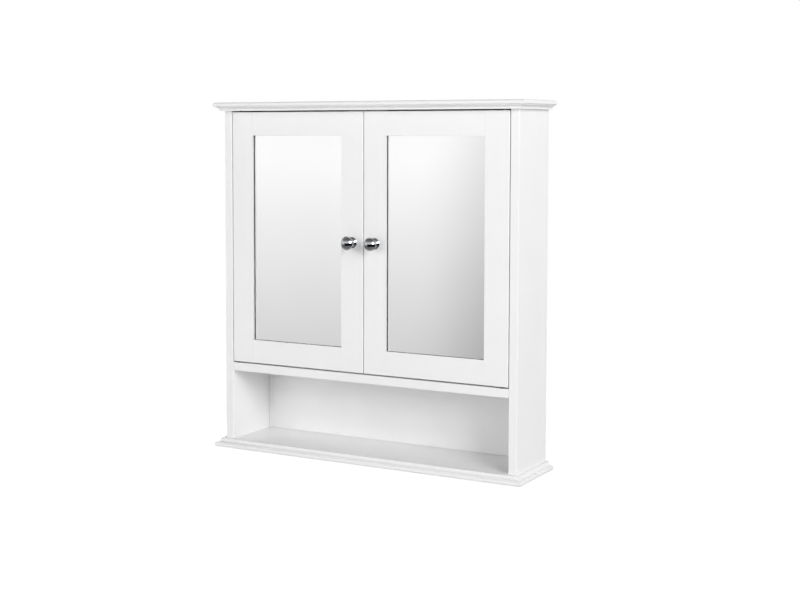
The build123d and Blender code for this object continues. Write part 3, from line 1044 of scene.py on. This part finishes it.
class BuildCatch(bpy.types.Operator):
    """Magnetic catch under the top board and the doors' strike plates"""

    bl_idname = "cabinet.build_catch"
    bl_label = "Magnetic catch"

    def execute(self, context):
        steel = bpy.data.materials["bright_zinc_plate"]
        white = moulded_white_plastic()
        ferrite = sintered_ferrite()
        refined_piece("catch_case", "cabinet", white, CASE_EASE, SHORTEST_CASE_EDGE)
        refined_piece("catch_magnets", "cabinet", ferrite, MAGNET_EASE, SHORTEST_SMALL_EDGE)
        refined_piece("catch_pole_plates", "cabinet", steel, PLATE_EASE, SHORTEST_SMALL_EDGE)
        refined_piece("catch_screws", "cabinet", steel)
        for body in DOORS:
            side = short_name(body)
            refined_piece(f"{side}_strike_plate", body, steel)
            refined_piece(f"{side}_strike_screw", body, steel)
        return {"FINISHED"}


# The studio. It hangs the cabinet in pale, plain light and looks at it from the right front.
CAMERA_PLACE = Vector((1.11775, -2.07930, -0.01171))
CAMERA_YAW = 0.5283
CAMERA_PITCH = -0.0684
CAMERA_SHIFT = (0.0657, -0.0901)
SENSOR_WIDTH_MM = 36.0
KEY_PLACE = Vector((3.0, -2.0, 1.05))
KEY_SIZE = 1.8
FILL_PLACE = Vector((-1.2, -3.2, 0.3))
FILL_SIZE = 2.2
BACK_PLACE = Vector((1.6, 3.0, 1.4))
BACK_SIZE = 2.0
REAR_PLACE = Vector((-2.0, 2.4, 1.9))
REAR_SIZE = 2.0
FLOOR_SIDES = 96
FLOOR_GLOW_SHARE = 0.75
SEEN_FLOOR_GLOW = 1.28
# Painted reflection: the floor's glow in the mirrors and in metal
MIRRORED_FLOOR_GLOW = 0.62
METAL_FLOOR_GLOW = 0.1
# Where the card of painted dark reflection hangs
CARD_DISTANCE = 1.5
CARD_LOW = -1.25
CARD_HIGH = -0.16
CARD_TURNS = (math.radians(-30), math.radians(120))
CARD_STEPS = 24

# Painted reflection in mirrors and metal, which the camera sees white and which lights the cabinet
# evenly:
# its tones from straight down to straight up, and where across the room it turns dimmer
PALE_REFLECTION_END = -0.462
DIM_REFLECTION_START = -0.395
DIM_REFLECTION_DROP = 0.105
PAINTED_REFLECTION_TONES = (
    (0.02, "#1E1E1E"),
    (0.3, "#5A5A5A"),
    (0.4, "#C4C4C4"),
    (0.49, "#FFFFFF"),
    (0.6, "#FFFFFF"),
    (0.75, "#9A9A9A"),
    (0.98, "#5A5A5A"),
)


def soft_light(name, place, aim, size, power, shines_in_metal):
    """A square softbox. The mirrors show the painted reflection, and not the box itself."""
    data = bpy.data.lights.new(name, "AREA")
    data.shape = "SQUARE"
    data.size = size
    data.energy = power
    light = bpy.data.objects.new(name, data)
    light.location = place
    light.rotation_euler = (aim - place).to_track_quat("-Z", "Y").to_euler()
    light.visible_transmission = False
    light.visible_glossy = shines_in_metal
    bpy.context.scene.collection.objects.link(light)


def stage_piece(shape, name, material):
    """Turns a bmesh into a piece of the studio."""
    mesh = bpy.data.meshes.new(name)
    shape.to_mesh(mesh)
    shape.free()
    mesh.materials.append(material)
    piece = bpy.data.objects.new(name, mesh)
    bpy.context.scene.collection.objects.link(piece)
    return piece


def studio_world(ambient):
    """Even light all round, white to the camera. Mirrors and metal see a painted reflection."""
    world = bpy.data.worlds.new("white_studio")
    bpy.context.scene.world = world
    world.use_nodes = True
    tree = world.node_tree
    tree.nodes.clear()
    path = add_node(tree, "ShaderNodeLightPath")
    way = add_node(tree, "ShaderNodeTexCoord")
    parts = add_node(tree, "ShaderNodeSeparateXYZ", links={"Vector": way.outputs["Generated"]})
    drop = add_node(
        tree,
        "ShaderNodeMapRange",
        settings={"interpolation_type": "SMOOTHSTEP"},
        values={"From Min": PALE_REFLECTION_END, "From Max": DIM_REFLECTION_START, "To Max": DIM_REFLECTION_DROP},
        links={"Value": parts.outputs["X"]},
    )
    height = add_node(
        tree,
        "ShaderNodeMath",
        settings={"operation": "SUBTRACT"},
        links={0: parts.outputs["Z"], 1: drop.outputs["Result"]},
    )
    rise = add_node(
        tree,
        "ShaderNodeMapRange",
        values={"From Min": -1.0},
        links={"Value": height.outputs[0]},
    )
    # Painted reflection: these tones are seen only in mirrors and metal, never by the camera or diffuse
    # light
    painted_reflection_ramp = add_node(tree, "ShaderNodeValToRGB", links={"Fac": rise.outputs["Result"]})
    ramp = painted_reflection_ramp.color_ramp
    for position, tone in PAINTED_REFLECTION_TONES:
        element = ramp.elements.new(position)
        element.color = linear(tone)
    ramp.elements.remove(ramp.elements[0])
    ramp.elements.remove(ramp.elements[-1])
    seen = seen_directly_or_mirrored(tree)
    white_tone = linear("#FFFFFF")
    even = add_node(tree, "ShaderNodeBackground", values={"Color": white_tone, "Strength": ambient})
    white = add_node(tree, "ShaderNodeBackground", values={"Color": white_tone})
    mirrored = add_node(tree, "ShaderNodeBackground", links={"Color": painted_reflection_ramp.outputs["Color"]})
    shown = add_node(
        tree,
        "ShaderNodeMixShader",
        links={0: path.outputs["Is Camera Ray"], 1: mirrored.outputs[0], 2: white.outputs[0]},
    )
    mixed = add_node(
        tree,
        "ShaderNodeMixShader",
        links={0: seen, 1: even.outputs[0], 2: shown.outputs[0]},
    )
    add_node(tree, "ShaderNodeOutputWorld", links={"Surface": mixed.outputs[0]})


def lay_floor(centre, studio):
    """A round floor under the hanging cabinet."""
    floor = bmesh.new()
    bmesh.ops.create_circle(
        floor,
        cap_ends=True,
        radius=studio.floor_radius,
        segments=FLOOR_SIDES,
        matrix=Matrix.Translation((centre.x, centre.y, cad_box[0].z - studio.floor_drop)),
    )
    stage_piece(floor, "studio_floor", studio_floor())


def hang_reflection_card():
    """A curved dark card in front of the cabinet, a painted reflection which only metal shows."""
    card_shape = bmesh.new()
    turn = Matrix.Rotation(CARD_TURNS[0], 4, "Z")
    foot = card_shape.verts.new(turn @ Vector((0, -CARD_DISTANCE, CARD_LOW)))
    head = card_shape.verts.new(turn @ Vector((0, -CARD_DISTANCE, CARD_HIGH)))
    edge = card_shape.edges.new((foot, head))
    bmesh.ops.spin(
        card_shape,
        geom=[foot, head, edge],
        cent=(0, 0, 0),
        axis=(0, 0, 1),
        angle=CARD_TURNS[1] - CARD_TURNS[0],
        steps=CARD_STEPS,
    )
    # Painted dark reflection: hidden from the camera, diffuse light, glass and shadows, seen only in
    # metal
    dark_card = stage_piece(card_shape, "painted_reflection_card", paint_dark_reflection())
    dark_card.visible_camera = False
    dark_card.visible_diffuse = False
    dark_card.visible_transmission = False
    dark_card.visible_shadow = False


def set_camera(lens):
    """The camera at the photograph's place and angle."""
    data = bpy.data.cameras.new("camera")
    data.lens = lens
    data.sensor_width = SENSOR_WIDTH_MM
    data.shift_x, data.shift_y = CAMERA_SHIFT
    camera = bpy.data.objects.new("camera", data)
    camera.location = CAMERA_PLACE
    camera.rotation_euler = (math.pi / 2 + CAMERA_PITCH, 0, CAMERA_YAW)
    bpy.context.scene.collection.objects.link(camera)
    bpy.context.scene.camera = camera


class BuildStudio(bpy.types.Operator):
    """Pale floor, soft lights, white surroundings and the camera"""

    bl_idname = "cabinet.build_studio"
    bl_label = "Studio"

    def execute(self, context):
        studio = context.scene.cabinet_studio
        context.scene.view_settings.view_transform = "Standard"
        centre = (cad_box[0] + cad_box[1]) / 2
        lay_floor(centre, studio)
        hang_reflection_card()
        soft_light("key_softbox", KEY_PLACE, centre, KEY_SIZE, studio.key_power, True)
        soft_light("fill_softbox", FILL_PLACE, centre, FILL_SIZE, studio.fill_power, False)
        soft_light("back_softbox", BACK_PLACE, centre, BACK_SIZE, studio.back_power, False)
        soft_light("rear_softbox", REAR_PLACE, centre, REAR_SIZE, studio.rear_power, False)
        studio_world(studio.ambient)
        set_camera(studio.lens)
        return {"FINISHED"}


OPERATORS = (
    BuildStudio,
    BuildBoards,
    BuildBackPanel,
    BuildDoorFrames,
    BuildMirrors,
    BuildBeads,
    BuildKnobs,
    BuildFixings,
    BuildPivots,
    BuildCatch,
)


class CabinetPanel(bpy.types.Panel):
    """Lists the steps that build the cabinet and the values they use"""

    bl_idname = "VIEW3D_PT_mirror_cabinet"
    bl_label = "Mirror cabinet"
    bl_space_type = "VIEW_3D"
    bl_region_type = "UI"
    bl_category = "Cabinet"

    def draw(self, context):
        for operator in OPERATORS:
            self.layout.operator(operator.bl_idname)
        for group in ("cabinet_sizes", "cabinet_colours", "cabinet_studio"):
            values = getattr(context.scene, group)
            for name in values.__annotations__:
                self.layout.prop(values, name)


GROUPS = {
    "cabinet_sizes": CabinetSizes,
    "cabinet_colours": CabinetColours,
    "cabinet_studio": CabinetStudio,
}


def register():
    for group in GROUPS.values():
        bpy.utils.register_class(group)
    for name, group in GROUPS.items():
        setattr(bpy.types.Scene, name, bpy.props.PointerProperty(type=group))
    for operator in OPERATORS:
        bpy.utils.register_class(operator)
    bpy.utils.register_class(CabinetPanel)


def unregister():
    bpy.utils.unregister_class(CabinetPanel)
    for operator in reversed(OPERATORS):
        bpy.utils.unregister_class(operator)
    for name, group in GROUPS.items():
        delattr(bpy.types.Scene, name)
        bpy.utils.unregister_class(group)


def main():
    register()
    bpy.ops.cabinet.build_studio()
    bpy.ops.cabinet.build_boards()
    bpy.ops.cabinet.build_back_panel()
    bpy.ops.cabinet.build_door_frames()
    bpy.ops.cabinet.build_mirrors()
    bpy.ops.cabinet.build_beads()
    bpy.ops.cabinet.build_knobs()
    bpy.ops.cabinet.build_fixings()
    bpy.ops.cabinet.build_pivots()
    bpy.ops.cabinet.build_catch()


if __name__ == "__main__":
    main()
